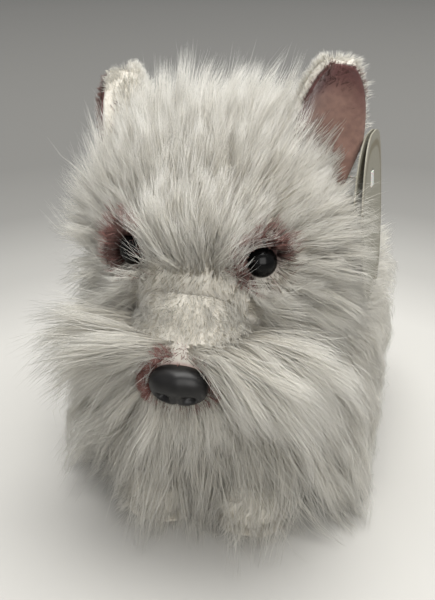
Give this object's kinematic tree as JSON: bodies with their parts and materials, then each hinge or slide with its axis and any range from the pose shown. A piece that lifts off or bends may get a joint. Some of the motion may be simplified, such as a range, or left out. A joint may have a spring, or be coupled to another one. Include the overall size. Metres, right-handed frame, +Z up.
{
  "type": "plush dog",
  "caption": "Small standing plush terrier with a long white coat, upright lined ears, safety eyes and nose, a short tail and a hang tag on one ear.",
  "frame": {"origin": "on the surface the soles stand on, under the middle of the outer box", "axes": "+X towards the left side of the dog, -Y towards its nose, +Z up"},
  "size_m": [0.104, 0.169, 0.1623],
  "materials": {
    "long_pile": "long shaggy white synthetic fur, soft and matte with a faint sheen along the strands",
    "short_pile": "short dense ivory plush pile, matte",
    "ear_pile": "short white plush with a maroon airbrushed rim",
    "stuffing": "loose white polyester fibre",
    "black_plastic": "smooth black moulded plastic, glossy",
    "washer_plastic": "natural white moulded plastic",
    "pink_velour": "short brown-pink velour with a darker maroon rim",
    "card": "smooth cream printed card",
    "clear_plastic": "clear translucent nylon",
    "satin": "woven white satin ribbon"
  },
  "bodies": {
    "torso": {"torso_left_panel": "long_pile", "torso_right_panel": "long_pile", "belly_panel": "short_pile", "torso_stuffing": "stuffing", "front_left_leg_cover": "long_pile", "front_left_leg_stuffing": "stuffing", "front_left_sole_pad": "short_pile", "front_right_leg_cover": "long_pile", "front_right_leg_stuffing": "stuffing", "front_right_sole_pad": "short_pile", "rear_left_leg_cover": "long_pile", "rear_left_leg_stuffing": "stuffing", "rear_left_sole_pad": "short_pile", "rear_right_leg_cover": "long_pile", "rear_right_leg_stuffing": "stuffing", "rear_right_sole_pad": "short_pile", "care_label": "satin"},
    "head": {"head_gusset": "long_pile", "head_left_panel": "long_pile", "head_right_panel": "long_pile", "chin_panel": "long_pile", "muzzle_panel": "short_pile", "head_stuffing": "stuffing", "left_eye": "black_plastic", "left_eye_washer": "washer_plastic", "right_eye": "black_plastic", "right_eye_washer": "washer_plastic", "nose": "black_plastic", "nose_washer": "washer_plastic"},
    "left_ear": {"left_ear_back": "ear_pile", "left_ear_lining": "pink_velour", "tag_fastener": "clear_plastic"},
    "right_ear": {"right_ear_back": "ear_pile", "right_ear_lining": "pink_velour"},
    "tail": {"tail_cover": "long_pile", "tail_stuffing": "stuffing"},
    "tag": {"tag_inner_leaf": "card"},
    "tag_cover": {"tag_cover_leaf": "card"}
  },
  "joints": [
    {"name": "head_turn", "type": "hinge", "parent": "torso", "child": "head", "pos_m": [0, -0.0186, 0.076], "axis": [0, -0.454, 0.891], "range_deg": [-20, 20], "stiffness_Nm_per_rad": 0.05},
    {"name": "left_ear_flex", "type": "hinge", "parent": "head", "child": "left_ear", "pos_m": [0.02834, -0.01039, 0.12492], "axis": [0.7014, 0.7014, -0.1263], "range_deg": [-20, 4], "stiffness_Nm_per_rad": 0.008},
    {"name": "right_ear_flex", "type": "hinge", "parent": "head", "child": "right_ear", "pos_m": [-0.03057, -0.01036, 0.12384], "axis": [-0.2755, -0.9609, -0.0263], "range_deg": [-18, 18], "stiffness_Nm_per_rad": 0.008},
    {"name": "tail_flex", "type": "hinge", "parent": "torso", "child": "tail", "pos_m": [0, 0.0734, 0.074], "axis": [1, 0, 0], "range_deg": [-25, 12], "stiffness_Nm_per_rad": 0.01},
    {"name": "tag_swing", "type": "hinge", "parent": "left_ear", "child": "tag", "pos_m": [0.0465, -0.0006, 0.119], "axis": [0.9889, -0.139, 0.0523], "range_deg": [-25, 45]},
    {"name": "tag_open", "type": "hinge", "parent": "tag", "child": "tag_cover", "pos_m": [0.05071, 0.01799, 0.10406], "axis": [-0.0518, 0.0073, 0.9986], "range_deg": [-1.5, 100]}
  ]
}
